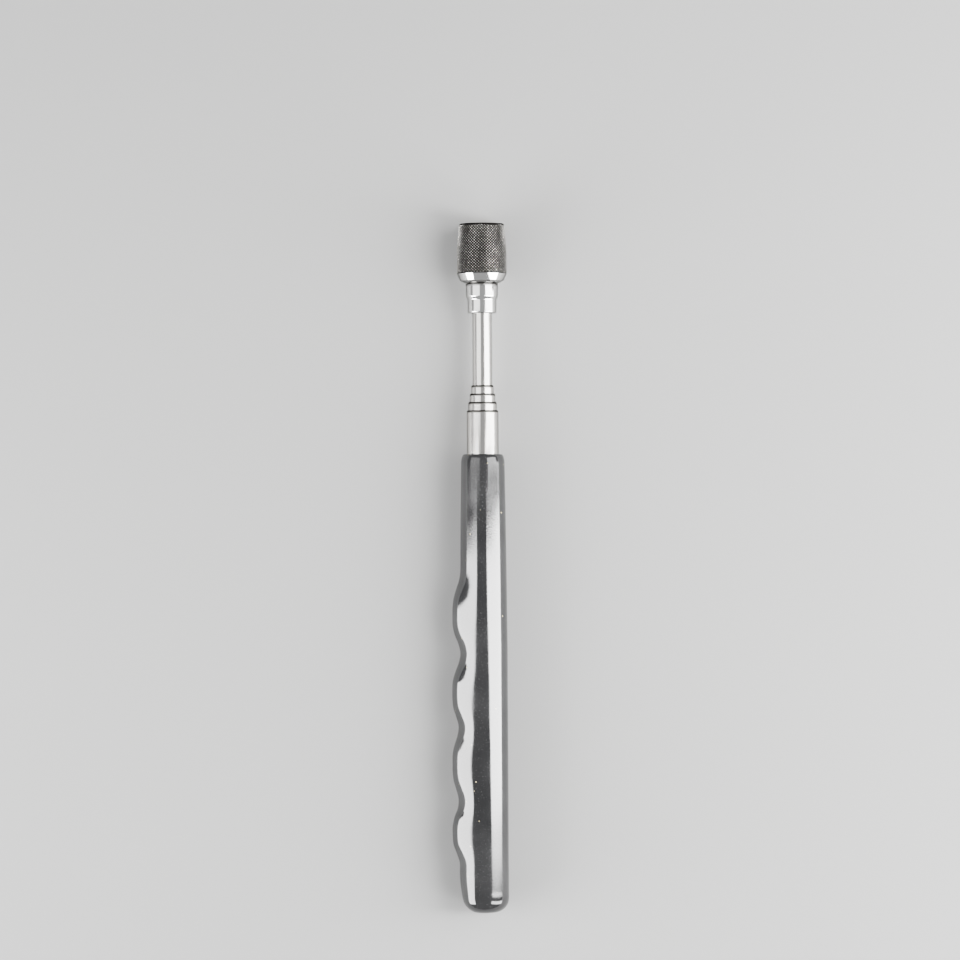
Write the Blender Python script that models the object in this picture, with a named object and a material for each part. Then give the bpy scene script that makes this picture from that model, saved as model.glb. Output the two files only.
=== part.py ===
"""Telescopic magnetic pickup tool, closed, lying along +Y with its magnet at the far end.

Metres, +Z up. The origin is the middle of the butt's flat end, on the tubes' common axis.
Four stages slide out of the handle along +Y, and each one also turns in the one before it.
The four finger bumps of the grip point to -X.
"""

import math

import bmesh
import bpy

MM = 0.001

# How far apart pieces stay where they touch.
SEAT_GAP = 0.3 * MM          # a piece seated on another
END_GAP = 0.1 * MM           # end to end on the axis
FIT_GAP = 0.1 * MM           # pushed or crimped over, on the radius
LIP_GAP = 0.06 * MM          # a tube sliding through a mouth, on the radius
BUSH_GAP = 0.04 * MM         # a foot bush sliding in a bore, on the radius
SPRING_GAP = 0.03 * MM       # a friction spring and its neighbours, on the radius
STOP_GAP = 0.15 * MM         # what is left between spring and lip when a stage is fully out

# Telescope: the base tube is stage 0, three tubes follow, and the rod is the last.
STAGE_NAMES = ("base_tube", "tube_1", "tube_2", "tube_3", "rod")
ROD = len(STAGE_NAMES) - 1
TRAVEL = 114.3 * MM          # of each sliding stage
BASE_TUBE_RADIUS = 4.1 * MM
STAGE_STEP = 0.4 * MM        # each stage's radius is this much less than the one before
TUBE_WALL = 0.2 * MM
ROD_WALL = 0.3 * MM
STAGE_RISE = 2.15 * MM       # each mouth stands this far above the one before it
LIP_HEIGHT = 1.2 * MM        # the mouth's necked-in length
LIP_ROUND = 0.7 * MM         # the height over which the mouth rolls in
LIP_EDGE = 0.06 * MM         # what is left of the wall at the rolled edge
ROD_BARE = 18.55 * MM        # rod showing between the last mouth and the collar

# At the foot of every stage.
PLUG_HEIGHT = 5.25 * MM
PLUG_BORE = 1.2 * MM
PLUG_CHAMFER = 0.3 * MM
BUSH_FLANGE = 0.8 * MM
BUSH_SPIGOT = 0.95 * MM
BUSH_WALL = 0.45 * MM
SPRING_HEIGHT = 4.6 * MM
SPRING_BOW = 0.03 * MM       # how far the spring's waist stands out
SPRING_SPLIT = 36.0          # degrees left open in the ring

# Grip.
GRIP_WALL = 2.0 * MM         # at the butt
GRIP_TAPER = 0.6 * MM        # how much thinner it is at its mouth
TAPER_START = 60.0 * MM
TAPER_CURVE = 1.6
BUTT_WALL = 2.5 * MM
BUTT_ROUND_HEIGHT = 3.6 * MM
BUTT_ROUND_DEPTH = 4.0 * MM  # how far in from the side the butt's flat middle begins
MOUTH_ROUND_HEIGHT = 2.4 * MM
MOUTH_ROUND_DEPTH = 0.8 * MM
BARE_TUBE = 11.3 * MM        # base tube showing above the grip
BUMP_PITCH = 2.4 * MM        # between cross-sections along the bumps
PLAIN_PITCH = 6.0 * MM       # and where the grip is plain
# The finger side: distance from the butt, and how far it stands out from the round.
FINGER_LINE = (
    (0.0, -0.75), (12.5, 0.3), (20.6, 2.1), (28.5, 0.5), (38.2, 2.05),
    (47.7, 0.45), (56.3, 2.0), (66.8, -0.1), (76.5, 1.95), (88.0, 0.0),
)
CREST_FULLNESS = 1.8         # above 1, crests are broad and troughs narrow
RIDGE_SHARPNESS = 5          # a higher power keeps the bumps nearer to the -X side

# Collar: crimped on the rod, with a wider top under the head.
COLLAR_SLEEVE_WALL = 1.08 * MM
COLLAR_SLEEVE_HEIGHT = 3.6 * MM
COLLAR_STEP_OUT = 0.45 * MM
COLLAR_STEP_HEIGHT = 0.7 * MM
COLLAR_HEIGHT = 7.6 * MM
COLLAR_CHAMFER = 0.3 * MM
ROD_IN_COLLAR = 6.0 * MM

# Head.
HEAD_RADIUS = 6.4 * MM
HEAD_HEIGHT = 15.4 * MM
HEAD_CONE_HEIGHT = 0.7 * MM
HEAD_CONE_INSET = 0.8 * MM
HEAD_BAND_HEIGHT = 1.8 * MM
HEAD_TIP_HEIGHT = 6.0 * MM   # how much of the knurled side tapers towards the tip
HEAD_TIP_INSET = 0.6 * MM
HEAD_FLOOR = 3.6 * MM
HEAD_RIM = 0.6 * MM          # the cup's wall at its tip
RIM_ROUND = 0.4 * MM
STUD_IN_ROD = 5.0 * MM
STUD_HEAD_OVERHANG = 1.1 * MM
STUD_HEAD_HEIGHT = 0.8 * MM
BACK_PLATE = 1.2 * MM
SLEEVE_WALL = 0.8 * MM
MAGNET_PROUD = 0.2 * MM
MAGNET_EDGE = 0.25 * MM

TURN_STEPS = 32
ROUND_STEPS = 4
WELD = 1e-7
SHARP_ANGLE = math.radians(35)

MATERIALS = {
    "black_vinyl": ((0.012, 0.012, 0.013), 0.22, 0.0),
    "nickel_plate": ((0.72, 0.71, 0.69), 0.14, 1.0),
    "bright_chrome": ((0.80, 0.80, 0.81), 0.06, 1.0),
    "dark_knurl": ((0.20, 0.19, 0.18), 0.38, 1.0),
    "brass": ((0.72, 0.52, 0.22), 0.30, 1.0),
    "spring_bronze": ((0.66, 0.40, 0.21), 0.32, 1.0),
    "plug_plastic": ((0.55, 0.55, 0.53), 0.55, 0.0),
    "plain_steel": ((0.48, 0.48, 0.49), 0.35, 1.0),
    "magnet_nickel": ((0.62, 0.61, 0.58), 0.24, 1.0),
}


# ---- sizes that follow from the ones above ----

def stage_radius(stage):
    return BASE_TUBE_RADIUS - stage * STAGE_STEP


def rod_radius():
    return stage_radius(ROD)


def stage_bore(stage):
    wall = ROD_WALL if stage == ROD else TUBE_WALL
    return stage_radius(stage) - wall


def base_foot():
    """Where the base tube stands on the grip's butt wall."""
    return BUTT_WALL + SEAT_GAP


def bush_foot(stage):
    """The lowest point of a sliding stage: the first rests on the plug, the others on a bush."""
    return base_foot() + PLUG_HEIGHT + SEAT_GAP + (stage - 1) * STAGE_RISE


def tube_foot(stage):
    """The bottom of a stage's tube, which sits on its bush's flange."""
    return base_foot() if stage == 0 else bush_foot(stage) + BUSH_FLANGE + END_GAP


def lip_foot(stage):
    """The underside of a mouth, which stops the next stage's spring after its full travel."""
    return tube_foot(stage + 1) + SPRING_HEIGHT + TRAVEL + STOP_GAP


def mouth_top(stage):
    return lip_foot(stage) + LIP_HEIGHT


def grip_top():
    return mouth_top(0) - BARE_TUBE


def collar_foot():
    return mouth_top(ROD - 1) + ROD_BARE


def rod_top():
    return collar_foot() + ROD_IN_COLLAR


def head_foot():
    return collar_foot() + COLLAR_HEIGHT + END_GAP


def collar_sleeve_radius():
    return rod_radius() + FIT_GAP + COLLAR_SLEEVE_WALL


def collar_radius():
    return collar_sleeve_radius() + COLLAR_STEP_OUT


def stud_radius():
    return stage_bore(ROD) - FIT_GAP


def head_tip_radius():
    return HEAD_RADIUS - HEAD_TIP_INSET


def cavity_radius():
    return head_tip_radius() - HEAD_RIM


# ---- modelling helpers ----

def clear_scene():
    for leftover in list(bpy.data.objects):
        bpy.data.objects.remove(leftover, do_unlink=True)


def make_material(name):
    """A Principled material with the finish's colour, roughness and metallic value."""
    color, roughness, metallic = MATERIALS[name]
    material = bpy.data.materials.new(name)
    material.use_nodes = True
    shader = material.node_tree.nodes["Principled BSDF"]
    shader.inputs["Base Color"].default_value = (*color, 1.0)
    shader.inputs["Roughness"].default_value = roughness
    shader.inputs["Metallic"].default_value = metallic
    return material


def quarter_turns():
    """The angles of the points on a rounded edge."""
    return [0.5 * math.pi * step / ROUND_STEPS for step in range(ROUND_STEPS + 1)]


def rounded_top(top, radius, tall, deep):
    """Outline points of an outer edge that rounds in by deep over its last tall."""
    return [
        (top - tall + tall * math.sin(turn), radius - deep * (1 - math.cos(turn)))
        for turn in quarter_turns()
    ]


def spin_outline(outline, angle=2 * math.pi):
    """A closed bmesh: the outline, (height, radius) pairs, turned about +Y.

    An outline that starts and ends on the axis makes a solid piece, any other a ring.
    """
    bm = bmesh.new()
    corners = [bm.verts.new((-radius, height, 0.0)) for height, radius in outline]
    pairs = list(zip(corners, corners[1:]))
    if outline[0][1] > 0:
        pairs.append((corners[-1], corners[0]))
    edges = [bm.edges.new(pair) for pair in pairs]
    whole = math.isclose(angle, 2 * math.pi)
    bmesh.ops.spin(
        bm, geom=corners + edges, cent=(0, 0, 0), axis=(0, 1, 0),
        angle=angle, steps=TURN_STEPS, use_merge=whole,
    )
    bmesh.ops.remove_doubles(bm, verts=bm.verts[:], dist=WELD)
    if not whole:
        ends = [edge for edge in bm.edges if edge.is_boundary]
        bmesh.ops.holes_fill(bm, edges=ends, sides=0)
    return bm


def finish_piece(bm, name, foot, material, axis_empty):
    """Turns a bmesh into the named object, standing at foot on the tool's axis."""
    bmesh.ops.recalc_face_normals(bm, faces=bm.faces[:])
    if bm.calc_volume(signed=True) < 0:
        bmesh.ops.reverse_faces(bm, faces=bm.faces[:])
    mesh = bpy.data.meshes.new(name)
    bm.to_mesh(mesh)
    bm.free()
    mesh.shade_smooth()
    mesh.set_sharp_from_angle(angle=SHARP_ANGLE)
    mesh.materials.append(material)
    piece = bpy.data.objects.new(name, mesh)
    bpy.context.scene.collection.objects.link(piece)
    place_on_axis(piece, foot, axis_empty)
    return piece


def place_on_axis(thing, foot, axis_empty):
    """Parents a thing to a stage's empty and stands it at foot, measured from the butt."""
    thing.parent = axis_empty
    thing.location.y = foot - (axis_empty["foot"] if axis_empty else 0.0)


def add_axis(name, foot, parent):
    """An empty on the tool's axis: sliding it along Y or turning it about Y moves its stage."""
    empty = bpy.data.objects.new(name, None)
    empty.empty_display_type = "SINGLE_ARROW"
    empty.empty_display_size = 2 * BASE_TUBE_RADIUS
    empty["foot"] = foot
    bpy.context.scene.collection.objects.link(empty)
    place_on_axis(empty, foot, parent)
    return empty


# ---- grip ----

def grip_round(height):
    """The grip's radius away from the bumps, without its rounded ends."""
    along = max(0.0, height - TAPER_START) / (grip_top() - TAPER_START)
    return BASE_TUBE_RADIUS + FIT_GAP + GRIP_WALL - GRIP_TAPER * along ** TAPER_CURVE


def end_inset(height):
    """How much the rounded butt and mouth take off the radius."""
    inset = 0.0
    for tall, deep, distance in (
        (BUTT_ROUND_HEIGHT, BUTT_ROUND_DEPTH, height),
        (MOUTH_ROUND_HEIGHT, MOUTH_ROUND_DEPTH, grip_top() - height),
    ):
        if distance < tall:
            inset += deep * (1 - math.sqrt(max(0.0, 1 - (1 - distance / tall) ** 2)))
    return inset


def finger_offset(height):
    """How far the finger side stands out at a height, from crest to trough and back."""
    for low, high in zip(FINGER_LINE, FINGER_LINE[1:]):
        if low[0] * MM <= height <= high[0] * MM:
            crest, trough = (low, high) if low[1] > high[1] else (high, low)
            along = (height / MM - crest[0]) / (trough[0] - crest[0])
            drop = (0.5 - 0.5 * math.cos(math.pi * along)) ** CREST_FULLNESS
            return (crest[1] - drop * (crest[1] - trough[1])) * MM
    return 0.0


def grip_section(height):
    """One cross-section: a circle drawn out towards -X to the finger line."""
    radius = grip_round(height) - end_inset(height)
    points = []
    for step in range(TURN_STEPS):
        turn = 2 * math.pi * step / TURN_STEPS
        share = max(0.0, math.cos(turn)) ** RIDGE_SHARPNESS
        reach = radius + share * finger_offset(height)
        points.append((-reach * math.cos(turn), height, reach * math.sin(turn)))
    return points


def grip_heights():
    """Where the cross-sections lie: close together on the rounded ends and along the bumps."""
    top = grip_top()
    butt = [BUTT_ROUND_HEIGHT * (1 - math.cos(turn)) for turn in quarter_turns()]
    mouth = [top - MOUTH_ROUND_HEIGHT * (1 - math.cos(turn)) for turn in reversed(quarter_turns())]
    bumps_end = FINGER_LINE[-1][0] * MM
    count = math.ceil((bumps_end - butt[-1]) / BUMP_PITCH)
    bumps = [butt[-1] + (bumps_end - butt[-1]) * step / count for step in range(1, count + 1)]
    count = math.ceil((mouth[0] - bumps_end) / PLAIN_PITCH)
    plain = [bumps_end + (mouth[0] - bumps_end) * step / count for step in range(1, count)]
    return butt + bumps + plain + mouth


def join_rings(bm, near, far):
    for step in range(TURN_STEPS):
        after = (step + 1) % TURN_STEPS
        bm.faces.new((near[step], near[after], far[after], far[step]))


def build_grip(material, axis_empty):
    """A dipped vinyl sleeve, closed at the butt and open at its mouth, over the base tube."""
    bm = bmesh.new()
    outer = [[bm.verts.new(point) for point in grip_section(height)] for height in grip_heights()]
    bore = BASE_TUBE_RADIUS + FIT_GAP
    turns = [2 * math.pi * step / TURN_STEPS for step in range(TURN_STEPS)]
    inner = [
        [bm.verts.new((-bore * math.cos(turn), height, bore * math.sin(turn))) for turn in turns]
        for height in (grip_top(), BUTT_WALL)
    ]
    rings = outer + inner
    for near, far in zip(rings, rings[1:]):
        join_rings(bm, near, far)
    bm.faces.new(rings[0])
    bm.faces.new(rings[-1])
    return finish_piece(bm, "grip", 0.0, material, axis_empty)


# ---- telescope ----

def tube_outline(stage):
    """A plain tube whose mouth is rolled in to guide the next stage."""
    radius = stage_radius(stage)
    bore = stage_bore(stage)
    guide = stage_radius(stage + 1) + LIP_GAP
    lip = lip_foot(stage) - tube_foot(stage)
    top = mouth_top(stage) - tube_foot(stage)
    shoulder = rounded_top(top, radius, LIP_ROUND, radius - guide - LIP_EDGE)
    return [(0.0, bore), (0.0, radius)] + shoulder + [(top, guide), (lip, guide), (lip, bore)]


def rod_outline():
    height = rod_top() - tube_foot(ROD)
    bore = stage_bore(ROD)
    return [(0.0, bore), (0.0, rod_radius()), (height, rod_radius()), (height, bore)]


def plug_outline():
    """The pressed-in plug that the closed stages rest on, with a vent hole."""
    radius = stage_bore(0) - BUSH_GAP
    return [
        (0.0, PLUG_BORE), (0.0, radius - PLUG_CHAMFER), (PLUG_CHAMFER, radius),
        (PLUG_HEIGHT, radius), (PLUG_HEIGHT, PLUG_BORE),
    ]


def bush_outline(stage):
    """A flanged ring: the flange runs in the outer tube, the spigot is crimped into its own."""
    flange = stage_bore(stage - 1) - BUSH_GAP
    spigot = stage_bore(stage) - BUSH_GAP
    bore = spigot - BUSH_WALL
    top = BUSH_FLANGE + END_GAP + BUSH_SPIGOT
    return [
        (0.0, bore), (0.0, flange), (BUSH_FLANGE, flange),
        (BUSH_FLANGE, spigot), (top, spigot), (top, bore),
    ]


def spring_outline(stage):
    """A thin bowed strip that fills the space between a tube and the bore around it."""
    inner = stage_radius(stage) + SPRING_GAP
    outer = stage_bore(stage - 1) - SPRING_GAP
    height = SPRING_HEIGHT - END_GAP
    middle = 0.5 * height
    return [
        (END_GAP, inner), (END_GAP, outer - SPRING_BOW), (middle, outer),
        (height, outer - SPRING_BOW), (height, inner), (middle, inner + SPRING_BOW),
    ]


def build_base(materials, handle):
    tube = spin_outline(tube_outline(0))
    finish_piece(tube, STAGE_NAMES[0], base_foot(), materials["nickel_plate"], handle)
    plug = spin_outline(plug_outline())
    finish_piece(plug, "base_plug", base_foot(), materials["plug_plastic"], handle)


def build_stage(stage, materials, parent):
    """A sliding stage: its tube, the bush at its foot and the friction spring above the bush."""
    name = STAGE_NAMES[stage]
    foot = tube_foot(stage)
    axis_empty = add_axis(name + "_axis", foot, parent)
    outline = rod_outline() if stage == ROD else tube_outline(stage)
    finish_piece(spin_outline(outline), name, foot, materials["nickel_plate"], axis_empty)
    bush = spin_outline(bush_outline(stage))
    finish_piece(bush, name + "_foot_bush", bush_foot(stage), materials["brass"], axis_empty)
    sweep = 2 * math.pi - math.radians(SPRING_SPLIT)
    spring = spin_outline(spring_outline(stage), sweep)
    finish_piece(spring, name + "_friction_spring", foot, materials["spring_bronze"], axis_empty)
    return axis_empty


# ---- collar and head ----

def collar_outline():
    """A narrow sleeve crimped on the rod, then a chamfered step up to the wider top."""
    bore = rod_radius() + FIT_GAP
    sleeve = collar_sleeve_radius()
    return [
        (0.0, bore), (0.0, sleeve - COLLAR_CHAMFER),
        (COLLAR_CHAMFER, sleeve), (COLLAR_SLEEVE_HEIGHT, sleeve),
        (COLLAR_SLEEVE_HEIGHT + COLLAR_STEP_HEIGHT, collar_radius()),
        (COLLAR_HEIGHT, collar_radius()), (COLLAR_HEIGHT, bore),
    ]


def housing_outline():
    """A turned cup: conical underside, polished band, a side to knurl that tapers, a rounded rim."""
    hole = stud_radius() + FIT_GAP
    rim = rounded_top(HEAD_HEIGHT, head_tip_radius(), RIM_ROUND, RIM_ROUND)
    return [
        (0.0, hole), (0.0, collar_radius()), (HEAD_CONE_HEIGHT, HEAD_RADIUS - HEAD_CONE_INSET),
        (HEAD_CONE_HEIGHT + HEAD_BAND_HEIGHT, HEAD_RADIUS), (HEAD_HEIGHT - HEAD_TIP_HEIGHT, HEAD_RADIUS),
    ] + rim + [(HEAD_HEIGHT, cavity_radius()), (HEAD_FLOOR, cavity_radius()), (HEAD_FLOOR, hole)]


def stud_outline(foot):
    """A plain stud from inside the rod, through the cup's floor, to its riveted-over head."""
    head = head_foot() + HEAD_FLOOR + END_GAP - foot
    top = head + STUD_HEAD_HEIGHT
    wide = stud_radius() + STUD_HEAD_OVERHANG
    edge = 0.5 * STUD_HEAD_HEIGHT
    return [
        (0.0, 0.0), (0.0, stud_radius()), (head, stud_radius()), (head, wide),
        (top - edge, wide), (top, wide - edge), (top, 0.0),
    ]


def build_head(materials, rod_axis):
    """Everything that is fixed to the rod's top: collar, stud, cup, pole disc, sleeve and magnet."""
    collar = spin_outline(collar_outline())
    finish_piece(collar, "collar", collar_foot(), materials["bright_chrome"], rod_axis)
    stud_foot = rod_top() - STUD_IN_ROD
    stud = spin_outline(stud_outline(stud_foot))
    finish_piece(stud, "head_stud", stud_foot, materials["plain_steel"], rod_axis)
    housing = spin_outline(housing_outline())
    finish_piece(housing, "head_housing", head_foot(), materials["dark_knurl"], rod_axis)

    plate_foot = head_foot() + HEAD_FLOOR + STUD_HEAD_HEIGHT + 2 * END_GAP
    plate_radius = cavity_radius() - FIT_GAP
    plate = [(0.0, 0.0), (0.0, plate_radius), (BACK_PLATE, plate_radius), (BACK_PLATE, 0.0)]
    finish_piece(spin_outline(plate), "back_plate", plate_foot, materials["plain_steel"], rod_axis)

    magnet_foot = plate_foot + BACK_PLATE + END_GAP
    rim_top = head_foot() + HEAD_HEIGHT - magnet_foot
    sleeve_bore = plate_radius - SLEEVE_WALL
    sleeve_top = rim_top - MAGNET_PROUD
    sleeve = [
        (0.0, sleeve_bore), (0.0, plate_radius), (sleeve_top, plate_radius), (sleeve_top, sleeve_bore),
    ]
    finish_piece(spin_outline(sleeve), "magnet_sleeve", magnet_foot, materials["brass"], rod_axis)

    magnet_radius = sleeve_bore - FIT_GAP
    magnet_top = rim_top + MAGNET_PROUD
    magnet = [
        (0.0, 0.0), (0.0, magnet_radius), (magnet_top - MAGNET_EDGE, magnet_radius),
        (magnet_top, magnet_radius - MAGNET_EDGE), (magnet_top, 0.0),
    ]
    finish_piece(spin_outline(magnet), "magnet", magnet_foot, materials["magnet_nickel"], rod_axis)


def main():
    clear_scene()
    materials = {name: make_material(name) for name in MATERIALS}
    handle = add_axis("handle_axis", 0.0, None)
    build_grip(materials["black_vinyl"], handle)
    build_base(materials, handle)
    stage_axis = handle
    for stage in range(1, len(STAGE_NAMES)):
        stage_axis = build_stage(stage, materials, stage_axis)
    build_head(materials, stage_axis)


main()
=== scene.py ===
import math

import bmesh
import bpy
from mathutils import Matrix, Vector, noise


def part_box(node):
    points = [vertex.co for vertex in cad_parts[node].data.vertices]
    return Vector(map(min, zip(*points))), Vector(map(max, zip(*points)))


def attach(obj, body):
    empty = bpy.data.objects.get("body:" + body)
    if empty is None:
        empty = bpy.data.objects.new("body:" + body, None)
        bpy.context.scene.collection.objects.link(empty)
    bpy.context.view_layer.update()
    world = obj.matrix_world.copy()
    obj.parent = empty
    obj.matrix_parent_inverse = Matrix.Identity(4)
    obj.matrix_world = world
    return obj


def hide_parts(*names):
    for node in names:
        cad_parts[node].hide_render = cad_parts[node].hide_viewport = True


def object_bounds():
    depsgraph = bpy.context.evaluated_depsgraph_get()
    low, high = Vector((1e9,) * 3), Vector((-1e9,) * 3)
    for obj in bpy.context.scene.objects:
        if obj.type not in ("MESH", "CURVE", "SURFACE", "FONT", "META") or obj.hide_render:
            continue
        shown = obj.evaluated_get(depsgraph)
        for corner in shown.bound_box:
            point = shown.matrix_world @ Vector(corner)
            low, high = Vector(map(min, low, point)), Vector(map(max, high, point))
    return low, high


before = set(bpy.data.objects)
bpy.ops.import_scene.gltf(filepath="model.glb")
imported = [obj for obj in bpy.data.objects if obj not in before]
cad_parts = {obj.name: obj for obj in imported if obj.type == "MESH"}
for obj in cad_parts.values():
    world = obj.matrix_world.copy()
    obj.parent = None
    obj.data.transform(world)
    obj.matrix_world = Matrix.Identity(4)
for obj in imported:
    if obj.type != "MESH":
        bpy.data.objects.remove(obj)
cadLow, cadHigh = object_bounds()
print("frame loaded,", len(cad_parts), "nodes")

mm = 0.001
scene = bpy.context.scene


# camera straight above the tool: a long lens, turned a touch to one side

cameraSettings = {
    "lens": 153.75,
    "height": 1057.4 * mm,      # above the tubes' axis
    "along": 111.53 * mm,       # how far up the tool it looks
    "aside": -0.75 * mm,
    "roll": -0.3,               # degrees
    "sensor": 36.0,
    "near": 0.05,
    "far": 20.0,
}


def addCamera(settings):
    data = bpy.data.cameras.new("benchCamera")
    data.lens = settings["lens"]
    data.sensor_width = settings["sensor"]
    data.clip_start = settings["near"]
    data.clip_end = settings["far"]
    camera = bpy.data.objects.new("benchCamera", data)
    camera.location = (settings["aside"], settings["along"], settings["height"])
    camera.rotation_euler = (0.0, 0.0, math.radians(settings["roll"]))
    scene.collection.objects.link(camera)
    scene.camera = camera


addCamera(cameraSettings)
print("camera set")


# reading shapes off the frame

nearlyZero = 2e-6
hardTurn = math.radians(25)     # a corner that turns less than this is left as it is
sideShare = 0.45                # the most of a side that one rounded corner takes up


def outlineOf(node, fingerSide=False):
    # a node's section as (along, radius) points in order, read on the +Z side or the -X side
    bm = bmesh.new()
    bm.from_mesh(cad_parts[node].data)
    bmesh.ops.remove_doubles(bm, verts=bm.verts[:], dist=nearlyZero)

    def onPlane(vert):
        out, off = (-vert.co.x, vert.co.z) if fingerSide else (vert.co.z, vert.co.x)
        return abs(off) < nearlyZero and out > -nearlyZero

    chain = {vert: [] for vert in bm.verts if onPlane(vert)}
    for edge in bm.edges:
        a, b = edge.verts
        if a in chain and b in chain:
            chain[a].append(b)
            chain[b].append(a)
    ends = [vert for vert in chain if len(chain[vert]) == 1]
    here = min(ends or chain, key=lambda vert: (vert.co.y, vert.co.x ** 2 + vert.co.z ** 2))
    order = [here]
    while here is not None:
        here = next((vert for vert in chain[here] if vert not in order), None)
        if here is not None:
            order.append(here)
    outline = [(vert.co.y, math.hypot(vert.co.x, vert.co.z)) for vert in order]
    bm.free()
    return outline


def softened(outline, size, closed=True):
    # rounds every hard corner of an outline by size, or less where its sides are short
    points = [Vector(point) for point in outline]
    result = []
    for index, corner in enumerate(points):
        atEnd = index in (0, len(points) - 1) and not closed
        before = points[index - 1]
        after = points[(index + 1) % len(points)]
        toBefore = before - corner
        toAfter = after - corner
        if atEnd or toBefore.length < nearlyZero or toAfter.length < nearlyZero:
            result.append(tuple(corner))
            continue
        turn = math.pi - toBefore.angle(toAfter)
        reach = min(size, sideShare * toBefore.length, sideShare * toAfter.length)
        if turn < hardTurn:
            result.append(tuple(corner))
            continue
        start = corner + toBefore.normalized() * reach
        end = corner + toAfter.normalized() * reach
        for share in (0.0, 0.25, 0.5, 0.75, 1.0):
            bend = start.lerp(corner, share).lerp(corner.lerp(end, share), share)
            result.append(tuple(bend))
    return result


# mesh helpers

sharpTurn = 32                  # degrees, above which an edge is shaded hard
turnedCount = 128               # steps round a turned piece


def linkMesh(name, mesh, finishes, sharpAngle=sharpTurn):
    mesh.shade_smooth()
    mesh.set_sharp_from_angle(angle=math.radians(sharpAngle))
    for finish in finishes:
        mesh.materials.append(finish)
    piece = bpy.data.objects.new(name, mesh)
    scene.collection.objects.link(piece)
    return piece


def meshFrom(name, bm):
    bmesh.ops.recalc_face_normals(bm, faces=bm.faces[:])
    if bm.calc_volume(signed=True) < 0:
        bmesh.ops.reverse_faces(bm, faces=bm.faces[:])
    mesh = bpy.data.meshes.new(name)
    bm.to_mesh(mesh)
    bm.free()
    return mesh


def ringFaces(bm, near, far, slot=0):
    count = len(near)
    for k in range(count):
        after = (k + 1) % count
        face = bm.faces.new((near[k], near[after], far[after], far[k]))
        face.material_index = slot


def ringOf(bm, along, radius, count):
    turns = [2 * math.pi * k / count for k in range(count)]
    return [bm.verts.new((-radius * math.cos(turn), along, radius * math.sin(turn))) for turn in turns]


def turnedMesh(name, outline, count=turnedCount):
    # outline starts and ends on the axis for a solid piece, and comes back to its start for a ring
    bm = bmesh.new()
    solid = outline[0][1] < nearlyZero
    rows = []
    for along, radius in outline:
        if radius < nearlyZero:
            rows.append(bm.verts.new((0.0, along, 0.0)))
        else:
            rows.append(ringOf(bm, along, radius, count))
    pairs = list(zip(rows, rows[1:]))
    if not solid:
        pairs.append((rows[-1], rows[0]))
    for near, far in pairs:
        if isinstance(near, list) and isinstance(far, list):
            ringFaces(bm, near, far)
            continue
        tip, ring = (far, near) if isinstance(near, list) else (near, far)
        for k in range(count):
            bm.faces.new((tip, ring[k], ring[(k + 1) % count]))
    return meshFrom(name, bm)


def paintShare(mesh, name, shareAt):
    # a number for each point, which a finish reads as wear or dirt; here it carries dirt together with
    # painted shade below the mouths
    layer = mesh.attributes.new(name, "FLOAT", "POINT")
    layer.data.foreach_set("value", [shareAt(vert.co) for vert in mesh.vertices])


# node helpers

grainRoughness = 0.55


def newFinish(name):
    material = bpy.data.materials.new(name)
    material.use_nodes = True
    tree = material.node_tree
    return material, tree, tree.nodes["Principled BSDF"]


def pieceSpace(tree, stretch=(1.0, 1.0, 1.0)):
    place = tree.nodes.new("ShaderNodeTexCoord")
    mapping = tree.nodes.new("ShaderNodeMapping")
    mapping.inputs["Scale"].default_value = stretch
    tree.links.new(place.outputs["Object"], mapping.inputs["Vector"])
    return mapping.outputs["Vector"]


def grain(tree, scale, stretch=(1.0, 1.0, 1.0), detail=3.0):
    node = tree.nodes.new("ShaderNodeTexNoise")
    node.inputs["Scale"].default_value = scale
    node.inputs["Detail"].default_value = detail
    node.inputs["Roughness"].default_value = grainRoughness
    tree.links.new(pieceSpace(tree, stretch), node.inputs["Vector"])
    return node.outputs["Fac"]


def ranged(tree, value, fromLow, fromHigh, toLow, toHigh):
    node = tree.nodes.new("ShaderNodeMapRange")
    node.inputs["From Min"].default_value = fromLow
    node.inputs["From Max"].default_value = fromHigh
    node.inputs["To Min"].default_value = toLow
    node.inputs["To Max"].default_value = toHigh
    tree.links.new(value, node.inputs["Value"])
    return node.outputs["Result"]


def combined(tree, how, a, b):
    node = tree.nodes.new("ShaderNodeMath")
    node.operation = how
    for socket, value in zip(node.inputs, (a, b)):
        if isinstance(value, (int, float)):
            socket.default_value = value
        else:
            tree.links.new(value, socket)
    return node.outputs["Value"]


def painted(tree, name):
    node = tree.nodes.new("ShaderNodeAttribute")
    node.attribute_name = name
    return node.outputs["Fac"]


def mixedColor(tree, share, a, b):
    node = tree.nodes.new("ShaderNodeMix")
    node.data_type = "RGBA"
    colors = [s for s in node.inputs if s.type == "RGBA"]
    for socket, value in zip(colors, (a, b)):
        if isinstance(value, tuple):
            socket.default_value = (*value, 1.0)
        else:
            tree.links.new(value, socket)
    tree.links.new(share, node.inputs["Factor"])
    return [s for s in node.outputs if s.type == "RGBA"][0]


def bumped(tree, height, depth):
    node = tree.nodes.new("ShaderNodeBump")
    node.inputs["Distance"].default_value = depth
    tree.links.new(height, node.inputs["Height"])
    return node.outputs["Normal"]


# finishes

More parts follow.
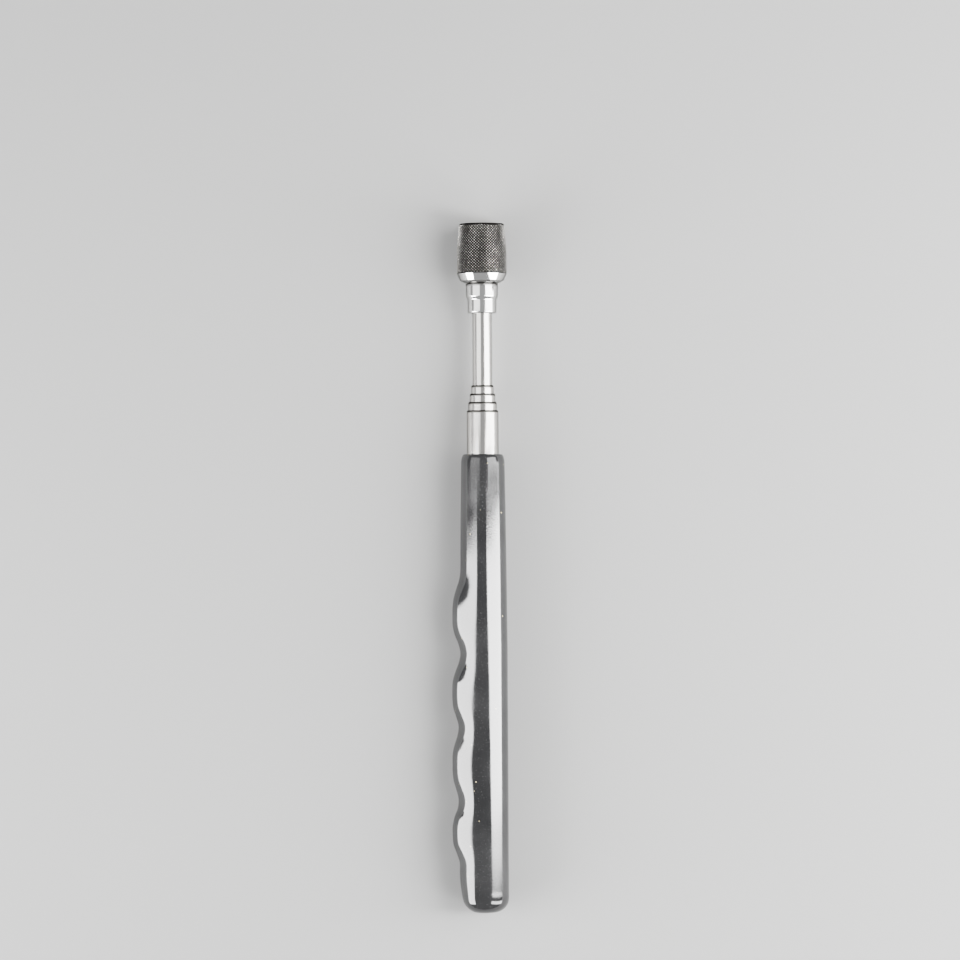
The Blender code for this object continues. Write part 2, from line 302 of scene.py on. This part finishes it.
vinylSettings = {
    "color": (0.011, 0.011, 0.0115),
    "dull": (0.022, 0.022, 0.0225),
    "dust": (0.075, 0.074, 0.072),
    "speck": (0.42, 0.37, 0.24),
    "speckSize": 0.075,         # of the speck spacing
    "speckSpacing": 3.0 * mm,
    "pebble": 0.45 * mm,
    "pebbleDepth": 0.0035 * mm,
    "ior": 1.75,
    "roughness": (0.05, 0.13),
    "smudgeScale": 90.0,
    "scuffScale": 700.0,
    "scuffShare": 0.35,
    "lintScale": 3200.0,
    "lintRange": (0.62, 0.80),
    "dotEdge": 0.6,             # of a speck, the part that is fully coloured
    "fineShare": 0.3,           # of the fine grain in the skin
}


def makeVinyl(settings):
    finish, tree, shader = newFinish("black dipped vinyl")
    shader.inputs["IOR"].default_value = settings["ior"]
    smudge = grain(tree, settings["smudgeScale"], detail=4.0)
    scuff = grain(tree, settings["scuffScale"], stretch=(1.0, 0.12, 1.0), detail=2.0)
    scuffed = combined(tree, "MULTIPLY", scuff, settings["scuffShare"])
    handled = combined(tree, "ADD", smudge, scuffed)
    body = mixedColor(tree, ranged(tree, smudge, 0.35, 0.7, 0.0, 1.0), settings["color"], settings["dull"])

    lintLow, lintHigh = settings["lintRange"]
    lint = ranged(tree, grain(tree, settings["lintScale"], detail=3.0), lintLow, lintHigh, 0.0, 1.0)
    body = mixedColor(tree, lint, body, settings["dust"])

    cells = tree.nodes.new("ShaderNodeTexVoronoi")
    cells.inputs["Scale"].default_value = 1.0 / settings["speckSpacing"]
    tree.links.new(pieceSpace(tree), cells.inputs["Vector"])
    size = settings["speckSize"]
    dot = ranged(tree, cells.outputs["Distance"], size * settings["dotEdge"], size, 1.0, 0.0)
    tree.links.new(mixedColor(tree, dot, body, settings["speck"]), shader.inputs["Base Color"])

    low, high = settings["roughness"]
    tree.links.new(ranged(tree, handled, 0.45, 0.95, low, high), shader.inputs["Roughness"])
    pebble = grain(tree, 1.0 / settings["pebble"], detail=2.0)
    fine = grain(tree, 4.0 / settings["pebble"], detail=1.0)
    skin = combined(tree, "ADD", pebble, combined(tree, "MULTIPLY", fine, settings["fineShare"]))
    tree.links.new(bumped(tree, skin, settings["pebbleDepth"]), shader.inputs["Normal"])
    return finish


metalSettings = {
    # lines: which way the tool marks run, "along" the tool or "around" it
    # dirtAndShade: the colour painted below each mouth, partly dirt and partly painted shade for the gap
    # where the next tube comes out
    "nickel plate": {
        "color": (0.66, 0.645, 0.62), "stain": (0.52, 0.50, 0.47), "roughness": (0.08, 0.16),
        "lines": "along", "lineDepth": 0.0006 * mm, "dirtAndShade": (0.022, 0.020, 0.018), "edge": 0.45,
    },
    "bright chrome": {
        "color": (0.70, 0.695, 0.685), "stain": (0.58, 0.57, 0.55), "roughness": (0.05, 0.11),
        "lines": "around", "lineDepth": 0.0004 * mm, "dirtAndShade": (0.03, 0.028, 0.026), "edge": 0.35,
    },
    "turned brass": {
        "color": (0.76, 0.55, 0.24), "stain": (0.46, 0.30, 0.12), "roughness": (0.20, 0.36),
        "lines": "around", "lineDepth": 0.002 * mm, "dirtAndShade": (0.10, 0.07, 0.03),
    },
    "spring bronze": {
        "color": (0.70, 0.42, 0.22), "stain": (0.38, 0.20, 0.11), "roughness": (0.18, 0.34),
        "lines": "along", "lineDepth": 0.0015 * mm, "dirtAndShade": (0.10, 0.05, 0.03),
    },
    "plain steel": {
        "color": (0.50, 0.50, 0.51), "stain": (0.30, 0.29, 0.28), "roughness": (0.26, 0.42),
        "lines": "around", "lineDepth": 0.002 * mm, "dirtAndShade": (0.06, 0.05, 0.05),
    },
    "magnet nickel": {
        "color": (0.66, 0.65, 0.62), "stain": (0.44, 0.43, 0.40), "roughness": (0.16, 0.30),
        "lines": "along", "lineDepth": 0.0008 * mm, "dirtAndShade": (0.09, 0.08, 0.08),
    },
}

lineStretch = {"along": (1.0, 0.015, 1.0), "around": (0.03, 1.0, 0.03)}
metalCloud = 160.0              # scale of the stains
metalLine = 9000.0              # scale of the tool marks, and of the pits in the knurl
mostStained = 0.35
dirtAndShadeDulls = 0.35                # roughness added where the dirt and painted shade are thickest
usualEdge = 0.8


def makeMetal(name):
    settings = metalSettings[name]
    finish, tree, shader = newFinish(name)
    shader.inputs["Metallic"].default_value = 1.0
    edge = settings.get("edge", usualEdge)
    shader.inputs["Specular Tint"].default_value = (edge, edge, edge, 1.0)
    cloud = grain(tree, metalCloud, detail=5.0)
    lines = grain(tree, metalLine, stretch=lineStretch[settings["lines"]], detail=2.0)
    stained = ranged(tree, cloud, 0.5, 0.8, 0.0, mostStained)
    body = mixedColor(tree, stained, settings["color"], settings["stain"])
    # darker below each mouth: real dirt, and painted shade for the gap where the next tube comes out
    dirtAndShade = combined(tree, "MULTIPLY", painted(tree, "dirtAndShade"), ranged(tree, cloud, 0.2, 0.6, 0.7, 1.0))
    tree.links.new(mixedColor(tree, dirtAndShade, body, settings["dirtAndShade"]), shader.inputs["Base Color"])
    low, high = settings["roughness"]
    mixed = combined(tree, "ADD", cloud, combined(tree, "MULTIPLY", lines, 0.5))
    clean = ranged(tree, mixed, 0.5, 1.0, low, high)
    dulled = combined(tree, "MULTIPLY", dirtAndShade, dirtAndShadeDulls)
    tree.links.new(combined(tree, "ADD", clean, dulled), shader.inputs["Roughness"])
    tree.links.new(bumped(tree, lines, settings["lineDepth"]), shader.inputs["Normal"])
    return finish


knurlFinishSettings = {
    "groove": (0.022, 0.0215, 0.021),
    "tip": (0.44, 0.43, 0.41),
    "bright": (0.85, 0.83, 0.79),   # a few diamonds rubbed clean
    "edge": 0.2,
    "roughness": (0.45, 0.26),      # groove, tip
    "cloudScale": 260.0,
    "pitDepth": 0.003 * mm,
}


def makeKnurlFinish(settings):
    finish, tree, shader = newFinish("dark knurled plating")
    shader.inputs["Metallic"].default_value = 1.0
    shader.inputs["Specular Tint"].default_value = (settings["edge"],) * 3 + (1.0,)
    cloud = grain(tree, settings["cloudScale"], detail=4.0)
    wear = painted(tree, "worn")
    worn = combined(tree, "MULTIPLY", ranged(tree, wear, 0.3, 0.9, 0.0, 1.0),
                    ranged(tree, cloud, 0.35, 0.65, 0.8, 1.0))
    tip = mixedColor(tree, ranged(tree, wear, 0.90, 0.97, 0.0, 1.0), settings["tip"], settings["bright"])
    color = mixedColor(tree, worn, settings["groove"], tip)
    tree.links.new(color, shader.inputs["Base Color"])
    grooveRough, tipRough = settings["roughness"]
    tree.links.new(ranged(tree, worn, 0.0, 1.0, grooveRough, tipRough), shader.inputs["Roughness"])
    pits = grain(tree, metalLine, detail=2.0)
    tree.links.new(bumped(tree, pits, settings["pitDepth"]), shader.inputs["Normal"])
    return finish


nylonSettings = {
    "cloudy": (0.52, 0.51, 0.46),
    "clear": (0.64, 0.63, 0.59),
    "flowScale": 420.0,
    "roughness": (0.45, 0.6),
    "depthShare": 0.1,          # of light that travels under the surface
    "depthReach": 0.5 * mm,
    "skinScale": 3000.0,
    "skinDepth": 0.01 * mm,
}


def makeNylon(settings):
    finish, tree, shader = newFinish("natural nylon")
    flow = grain(tree, settings["flowScale"], detail=3.0)
    color = mixedColor(tree, flow, settings["cloudy"], settings["clear"])
    tree.links.new(color, shader.inputs["Base Color"])
    low, high = settings["roughness"]
    tree.links.new(ranged(tree, flow, 0.3, 0.7, low, high), shader.inputs["Roughness"])
    shader.inputs["Subsurface Weight"].default_value = settings["depthShare"]
    shader.inputs["Subsurface Scale"].default_value = settings["depthReach"]
    skin = grain(tree, settings["skinScale"])
    tree.links.new(bumped(tree, skin, settings["skinDepth"]), shader.inputs["Normal"])
    return finish


blackVinyl = makeVinyl(vinylSettings)
finishes = {name: makeMetal(name) for name in metalSettings}
finishes["dark knurled plating"] = makeKnurlFinish(knurlFinishSettings)
finishes["natural nylon"] = makeNylon(nylonSettings)
print("finishes made")


# grip: dipped vinyl over the base tube, finger bumps on one side

gripSettings = {
    "around": 144,
    "ridge": 5,                 # a higher power keeps the bumps nearer to the finger side
    "step": 0.45 * mm,          # between rings along the grip
    "swell": 0.022 * mm,        # slow unevenness of the dipped skin
    "swellSize": 9.0 * mm,
    "calmEnds": 3.0 * mm,       # no unevenness right at the butt and the mouth
}


def radiusAlong(outline, along):
    # straight between an outline's points, for a place on its outer side
    for (lowAlong, lowRadius), (highAlong, highRadius) in zip(outline, outline[1:]):
        if lowAlong <= along <= highAlong:
            share = (along - lowAlong) / max(highAlong - lowAlong, nearlyZero)
            return lowRadius + share * (highRadius - lowRadius)
    return outline[-1][1]


def curveThrough(points, step):
    # a finer row of points on a Catmull-Rom curve through the given ones
    fine = []
    for index in range(len(points) - 1):
        p0, p1, p2, p3 = (points[min(max(index + k, 0), len(points) - 1)] for k in (-1, 0, 1, 2))
        count = max(1, math.ceil((p2 - p1).length / step))
        for k in range(count):
            share = k / count
            cubic = (p3 - p0) + 3 * (p1 - p2)
            square = 2 * p0 - 5 * p1 + 4 * p2 - p3
            fine.append(p1 + 0.5 * share * ((p2 - p0) + share * (square + share * cubic)))
    return fine + [points[-1]]


def makeGrip(settings):
    # the frame's rings on the finger side, with the round side's radius at the same places
    roundSide = outlineOf("grip")
    fingerSide = outlineOf("grip", fingerSide=True)
    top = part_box("grip")[1].y
    mouth = next(k for k, point in enumerate(fingerSide) if point[0] > top - nearlyZero)
    rings = [Vector((along, radiusAlong(roundSide, along), finger))
             for along, finger in fingerSide[:mouth + 1]]
    bore = fingerSide[mouth + 1:]
    count = settings["around"]
    bm = bmesh.new()
    rows = []
    for along, radius, finger in curveThrough(rings, settings["step"]):
        edge = min(1.0, along / settings["calmEnds"], (top - along) / settings["calmEnds"])
        row = []
        for k in range(count):
            turn = 2 * math.pi * k / count
            share = max(0.0, math.cos(turn)) ** settings["ridge"]
            reach = radius + share * (finger - radius)
            point = Vector((-reach * math.cos(turn), along, reach * math.sin(turn)))
            wave = noise.noise(point / settings["swellSize"])
            out = Vector((point.x, 0.0, point.z)).normalized()
            row.append(bm.verts.new(point + out * wave * settings["swell"] * max(0.0, edge)))
        rows.append(row)
    rows += [ringOf(bm, along, radius, count) for along, radius in bore]
    for near, far in zip(rows, rows[1:]):
        ringFaces(bm, near, far)
    bm.faces.new(rows[0])
    bm.faces.new(rows[-1])
    grip = linkMesh("vinylGrip", meshFrom("vinylGrip", bm), [blackVinyl])
    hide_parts("grip")
    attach(grip, "handle")


makeGrip(gripSettings)
print("grip made")


# turned pieces: the frame's outlines turned finer, with their edges eased

turnedSettings = {
    # node: (new piece, body, slot, finish, how much its edges are eased)
    "base_tube": ("baseTubeShell", "handle", "tube_plating", "nickel plate", 0.10 * mm),
    "base_plug": ("ventedPlug", "handle", "plug_plastic", "natural nylon", 0.12 * mm),
    "tube_1": ("firstTubeShell", "stage_1", "tube_plating", "nickel plate", 0.10 * mm),
    "tube_2": ("secondTubeShell", "stage_2", "tube_plating", "nickel plate", 0.10 * mm),
    "tube_3": ("thirdTubeShell", "stage_3", "tube_plating", "nickel plate", 0.10 * mm),
    "rod": ("rodShell", "rod_and_head", "tube_plating", "nickel plate", 0.10 * mm),
    "tube_1_foot_bush": ("firstFootBush", "stage_1", "brass", "turned brass", 0.08 * mm),
    "tube_2_foot_bush": ("secondFootBush", "stage_2", "brass", "turned brass", 0.08 * mm),
    "tube_3_foot_bush": ("thirdFootBush", "stage_3", "brass", "turned brass", 0.08 * mm),
    "rod_foot_bush": ("rodFootBush", "rod_and_head", "brass", "turned brass", 0.08 * mm),
    "collar": ("steppedCollar", "rod_and_head", "collar_plating", "bright chrome", 0.14 * mm),
    "head_stud": ("rivetedStud", "rod_and_head", "plain_steel", "plain steel", 0.15 * mm),
    "back_plate": ("poleDisc", "rod_and_head", "plain_steel", "plain steel", 0.12 * mm),
    "magnet_sleeve": ("brassRing", "rod_and_head", "brass", "turned brass", 0.08 * mm),
    "magnet": ("magnetSlug", "rod_and_head", "magnet_plating", "magnet nickel", 0.08 * mm),
}

solidNodes = ("head_stud", "back_plate", "magnet")
dirtAndShadeReach = 0.75 * mm           # how far the dirt and painted shade spread down from a mouth
dirtAndShadeSpread = 2.2                # above 1, the dirt and painted shade stay full for longer before they thin out
dirtyAndShadedNodes = ("base_tube", "tube_1", "tube_2", "tube_3", "collar")


def splitAt(outline, along):
    # adds a point wherever the outline crosses a height, so that paint can end there
    result = []
    for index, (lowAlong, lowRadius) in enumerate(outline):
        result.append((lowAlong, lowRadius))
        highAlong, highRadius = outline[(index + 1) % len(outline)]
        if (lowAlong - along) * (highAlong - along) < 0:
            share = (along - lowAlong) / (highAlong - lowAlong)
            result.append((along, lowRadius + share * (highRadius - lowRadius)))
    return result


def makeTurned(node):
    name, body, slotName, finishName, easing = turnedSettings[node]
    outline = outlineOf(node)
    solid = node in solidNodes
    if solid:
        outline = [(outline[0][0], 0.0)] + outline + [(outline[-1][0], 0.0)]
    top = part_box(node)[1].y
    outline = softened(outline, easing, closed=not solid)
    if not solid:
        outline = splitAt(outline, top - dirtAndShadeReach)
    mesh = turnedMesh(name, outline)
    # paints dirt and painted shade below the mouths of the tubes and the collar
    most = 1.0 if node in dirtyAndShadedNodes else 0.0
    paintShare(mesh, "dirtAndShade", lambda co: min(most, dirtAndShadeSpread * max(0.0, 1.0 - (top - co.y) / dirtAndShadeReach)))
    piece = linkMesh(name, mesh, [finishes[finishName]])
    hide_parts(node)
    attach(piece, body)


for node in turnedSettings:
    makeTurned(node)
print("turned pieces made")


# head: the cup's outline with a real diamond knurl cut into its side

knurlSettings = {
    "around": 50,               # diamonds round the cup
    "rows": 17,
    "depth": 0.22 * mm,
    "flat": 0.28,               # of each diamond, left flat on top
    "leastWear": 0.72,          # of the most worn diamond's
    "margin": 0.08 * mm,        # plain groove at both ends of the knurl
    "rim": 0.25 * mm,           # how far the dark plating rolls over the tip's edge
    "easing": 0.10 * mm,        # of the plain part's edges
    "dirtAndShade": 0.6,                # dirt and painted shade at the tip
    "sharp": 28,                # degrees, above which an edge is shaded hard
}


def knurlRows(bm, low, high, radiusAt, settings):
    # rows of diamonds from low to high; the first and last rows are returned to be joined on
    count = 2 * settings["around"]
    steps = 2 * settings["rows"]
    rise = (high - low) / steps
    worn = bm.verts.layers.float["worn"]

    def point(k, j, wear):
        # wear is none in a groove, and from low to high on a diamond's top
        turn = 2 * math.pi * k / count
        along = low + rise * j
        out = radiusAt(along) - (0.0 if wear else settings["depth"])
        vert = bm.verts.new((-out * math.cos(turn), along, out * math.sin(turn)))
        vert[worn] = wear
        return vert

    def wearOf(k, j):
        share = 0.5 + 0.5 * noise.cell(Vector((7.3 * k, 5.1 * j, 2.7)))
        return settings["leastWear"] + (1.0 - settings["leastWear"]) * share

    grid = {(k, j): point(k, j, wearOf(k, j) if (k + j) % 2 else 0.0)
            for j in (0, steps) for k in range(count)}
    for j in range(1, steps):
        for k in range(j % 2, count, 2):
            grid[k, j] = point(k, j, 0.0)
    for j in (0, steps):
        inward = 1 if j == 0 else steps - 1
        for k in range(1 - j % 2, count, 2):
            for side in (k - 1, k + 1):
                bm.faces.new((grid[side % count, j], grid[k, j], grid[k, inward]))
    reach = settings["flat"]
    for j in range(1, steps):
        for k in range(1 - j % 2, count, 2):
            corners = [grid[(k - 1) % count, j], grid[k, j - 1], grid[(k + 1) % count, j], grid[k, j + 1]]
            ways = ((-reach, 0), (0, -reach), (reach, 0), (0, reach))
            wear = wearOf(k, j)
            tops = [point(k + across, j + up, wear) for across, up in ways]
            for side in range(4):
                after = (side + 1) % 4
                bm.faces.new((corners[side], corners[after], tops[after], tops[side]))
            bm.faces.new(tops)
    for face in bm.faces:
        face.material_index = 1
    return [[grid[k, j] for k in range(count)] for j in (0, steps)]


def makeHead(settings):
    outline = outlineOf("head_housing")
    widest = max(radius for along, radius in outline)
    wide = [k for k, point in enumerate(outline) if widest - point[1] < nearlyZero]
    foot, tip = outline[wide[-1]], outline[wide[0] - 1]
    side = [foot, outline[wide[0]], tip]
    plain = softened(outline[wide[-1]:] + outline[:wide[0]], settings["easing"], closed=False)
    margin = settings["margin"]

    def rootRing(along):
        return ringOf(bm, along, radiusAlong(side, along) - settings["depth"], count)

    bm = bmesh.new()
    bm.verts.layers.float.new("worn")
    count = 2 * settings["around"]
    first, last = knurlRows(bm, foot[0] + margin, tip[0] - margin,
                            lambda along: radiusAlong(side, along), settings)
    rings = [last, rootRing(tip[0] - 0.5 * margin)]
    rings += [ringOf(bm, along, radius, count) for along, radius in reversed(plain)]
    rings += [rootRing(foot[0] + 0.5 * margin), first]
    for near, far in zip(rings, rings[1:]):
        ringFaces(bm, near, far)
    for face in bm.faces:
        middle = face.calc_center_median()
        if middle.y > tip[0] - margin and math.hypot(middle.x, middle.z) > tip[1] - settings["rim"]:
            face.material_index = 1
    mesh = meshFrom("knurledCup", bm)
    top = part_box("head_housing")[1].y
    # dirt and painted shade darkening the cup's chrome just below its tip
    paintShare(mesh, "dirtAndShade", lambda co: settings["dirtAndShade"] * max(0.0, 1.0 - (top - co.y) / dirtAndShadeReach) ** 2)
    cupFinishes = [finishes["bright chrome"], finishes["dark knurled plating"]]
    cup = linkMesh("knurledCup", mesh, cupFinishes, settings["sharp"])
    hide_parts("head_housing")
    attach(cup, "rod_and_head")


makeHead(knurlSettings)
print("head made")


# the split springs keep the frame's shapes and get their finish

for tube in ("tube_1", "tube_2", "tube_3", "rod"):
    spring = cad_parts[tube + "_friction_spring"]
    for materialSlot in spring.material_slots:
        materialSlot.material = finishes["spring bronze"]
print("springs finished")


# floor, lights and air

floorSettings = {
    "dark": (0.26, 0.26, 0.258),
    "light": (0.29, 0.29, 0.288),
    "cloudScale": 3.0,
    "roughness": 0.75,
    "grainScale": 900.0,
    "grainDepth": 0.02 * mm,
    "halfWidth": 4.0,
}


def makeFloor(level, settings):
    finish, tree, shader = newFinish("pale bench top")
    cloud = grain(tree, settings["cloudScale"], detail=4.0)
    color = mixedColor(tree, cloud, settings["dark"], settings["light"])
    tree.links.new(color, shader.inputs["Base Color"])
    shader.inputs["Roughness"].default_value = settings["roughness"]
    surface = grain(tree, settings["grainScale"])
    tree.links.new(bumped(tree, surface, settings["grainDepth"]), shader.inputs["Normal"])
    bm = bmesh.new()
    bmesh.ops.create_grid(bm, x_segments=1, y_segments=1, size=settings["halfWidth"])
    mesh = bpy.data.meshes.new("benchTop")
    bm.to_mesh(mesh)
    bm.free()
    mesh.materials.append(finish)
    floor = bpy.data.objects.new("benchTop", mesh)
    floor.location.z = level
    scene.collection.objects.link(floor)


makeFloor(cadLow.z, floorSettings)

boxSettings = {
    # a box leans from straight up towards +X, in degrees, and stands "away" from the tool's axis;
    # seen from the axis its glow starts at "starts" degrees, and "widens" more for each metre
    # below "widensFrom"; it ends along the tool at "top", less "slant" for each radian
    "gripLeftBox": {"lean": -54.0, "away": 0.5, "low": -0.33, "high": 0.118, "wide": 0.80, "glow": 17.0,
                    "starts": 30.0, "widens": 330.0, "widensFrom": 0.078, "top": 0.113, "slant": 0.0111},
    "gripRightBox": {"lean": 54.0, "away": 0.5, "low": -0.053, "high": 0.118, "wide": 0.80, "glow": 27.0,
                     "starts": 12.5, "widens": 150.0, "widensFrom": 0.108, "top": 0.102, "slant": -0.008},
    "bandRightBox": {"lean": 54.0, "away": 0.5, "low": -0.33, "high": -0.14, "wide": 0.80, "glow": 14.0,
                     "starts": 30.0, "widens": 0.0, "widensFrom": 0.0, "top": 0.0, "slant": 0.0},
    "neckLeftBox": {"lean": -42.0, "away": 0.5, "low": 0.1235, "high": 0.42, "wide": 0.51, "glow": 1.9,
                    "starts": 15.0, "widens": 0.0, "widensFrom": 0.0, "top": 0.42, "slant": 0.0},
    "neckRightBox": {"lean": 60.0, "away": 0.5, "low": 0.1235, "high": 0.173, "wide": 0.70, "glow": 7.0,
                     "starts": 25.0, "widens": 0.0, "widensFrom": 0.0, "top": 0.2, "slant": 0.0},
    "collarRightBox": {"lean": 50.0, "away": 0.5, "low": 0.168, "high": 0.42, "wide": 0.50, "glow": 7.0,
                       "starts": 22.0, "widens": 0.0, "widensFrom": 0.0, "top": 0.42, "slant": 0.0},
}
boxSideFade = math.radians(4.0)     # how softly a box's glow starts
boxTopFade = 0.005                  # and how softly it ends, towards the head and towards the butt
boxLowFade = {"gripRightBox": 0.045}
boxUsualLowFade = 0.008
boxWidest = math.radians(50.0)


def addSoftbox(name, settings):
    data = bpy.data.lights.new(name, "AREA")
    data.shape = "RECTANGLE"
    data.size = settings["wide"]
    data.size_y = settings["high"] - settings["low"]
    data.energy = settings["glow"] * math.pi * data.size * data.size_y
    data.use_nodes = True
    tree = data.node_tree
    place = tree.nodes.new("ShaderNodeNewGeometry")
    split = tree.nodes.new("ShaderNodeSeparateXYZ")
    tree.links.new(place.outputs["Position"], split.inputs["Vector"])
    across, along, up = split.outputs
    angle = combined(tree, "ARCTAN2", combined(tree, "ABSOLUTE", across, 0.0), up)
    below = combined(tree, "MAXIMUM", combined(tree, "SUBTRACT", settings["widensFrom"], along), 0.0)
    wider = combined(tree, "MULTIPLY", below, math.radians(settings["widens"]))
    starts = combined(tree, "ADD", wider, math.radians(settings["starts"]))
    past = combined(tree, "SUBTRACT", angle, combined(tree, "MINIMUM", starts, boxWidest))
    top = combined(tree, "SUBTRACT", settings["top"], combined(tree, "MULTIPLY", angle, settings["slant"]))
    short = combined(tree, "SUBTRACT", top, along)
    clear = combined(tree, "SUBTRACT", along, settings["low"])
    ends = combined(tree, "MULTIPLY", ranged(tree, short, 0.0, boxTopFade, 0.0, 1.0),
                    ranged(tree, clear, 0.0, boxLowFade.get(name, boxUsualLowFade), 0.0, 1.0))
    glow = combined(tree, "MULTIPLY", ranged(tree, past, 0.0, boxSideFade, 0.0, 1.0), ends)
    tree.links.new(glow, tree.nodes["Emission"].inputs["Strength"])
    lean = math.radians(settings["lean"])
    box = bpy.data.objects.new(name, data)
    middle = 0.5 * (settings["low"] + settings["high"])
    box.location = (settings["away"] * math.sin(lean), middle, settings["away"] * math.cos(lean))
    box.rotation_euler = (0.0, lean, 0.0)
    scene.collection.objects.link(box)


for boxName, settings in boxSettings.items():
    addSoftbox(boxName, settings)

airSettings = {"color": (0.98, 0.99, 1.0), "strength": 0.5}

world = bpy.data.worlds.new("roomAir")
world.use_nodes = True
air = world.node_tree.nodes["Background"]
air.inputs["Color"].default_value = (*airSettings["color"], 1.0)
air.inputs["Strength"].default_value = airSettings["strength"]
scene.world = world
scene.view_settings.view_transform = "AgX"
scene.view_settings.look = "AgX - Medium High Contrast"
print("floor and lights set")
